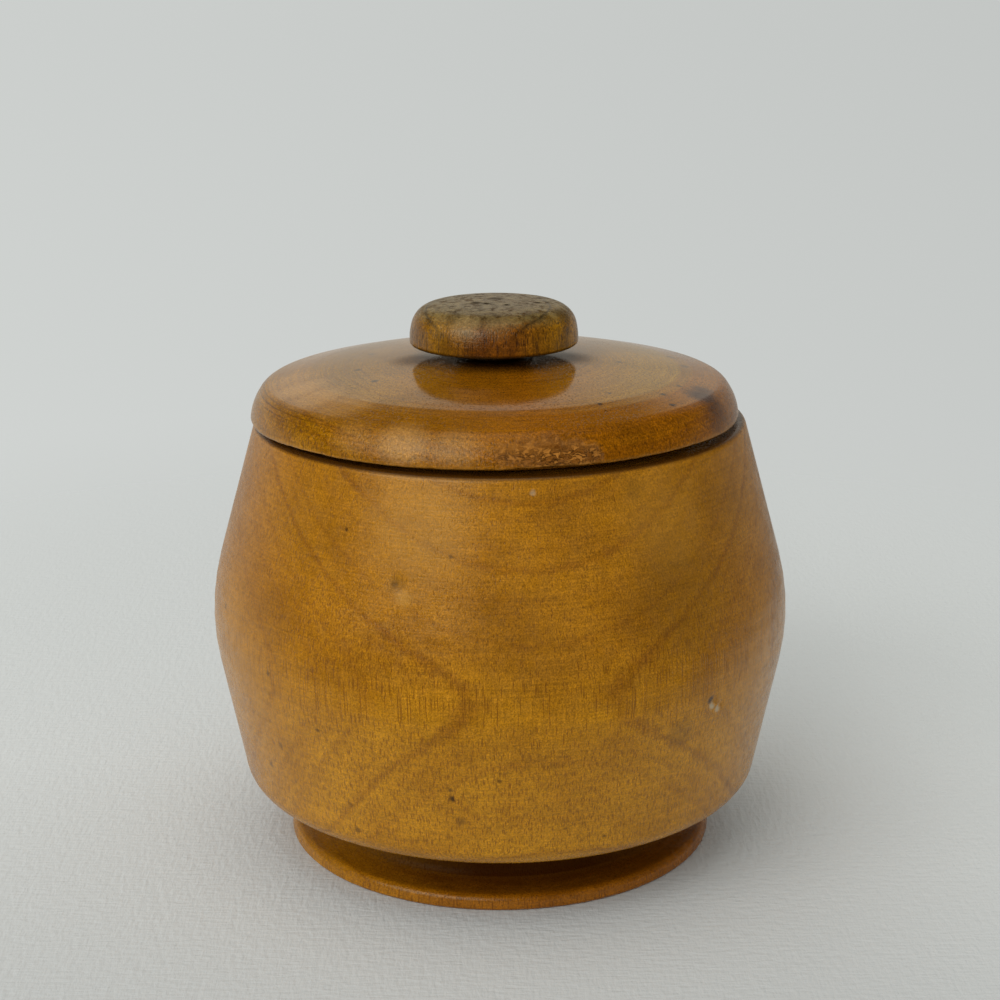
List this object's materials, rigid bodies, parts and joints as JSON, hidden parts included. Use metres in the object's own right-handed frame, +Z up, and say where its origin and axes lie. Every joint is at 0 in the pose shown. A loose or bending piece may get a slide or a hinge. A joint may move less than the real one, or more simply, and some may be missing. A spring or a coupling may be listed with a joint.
{
  "type": "lidded wooden jar",
  "caption": "Turned wooden storage jar with a swelling body on an undercut foot ring, and a loose lift-off lid with a mushroom knob.",
  "frame": {"origin": "middle of the foot ring's underside, on the surface that the jar stands on", "axes": "+Z up along the jar's turning axis, -Y towards the viewer of the picture, +X to that viewer's right"},
  "size_m": [0.12, 0.12, 0.1138],
  "materials": {
    "jar_wood": "honey-brown upright-grain hardwood under a thin satin varnish",
    "lid_wood": "amber-brown hardwood under a glossy varnish, chipped at the edge",
    "knob_wood": "grey-brown handled hardwood, worn varnish"
  },
  "bodies": {
    "jar": {"jar_body": "jar_wood"},
    "lid": {"lid": "lid_wood", "knob": "knob_wood"}
  },
  "joints": [
    {"name": "lid_lift", "type": "slide", "parent": "jar", "child": "lid", "axis": [0, 0, 1], "range_m": [0, 0.045]}
  ]
}
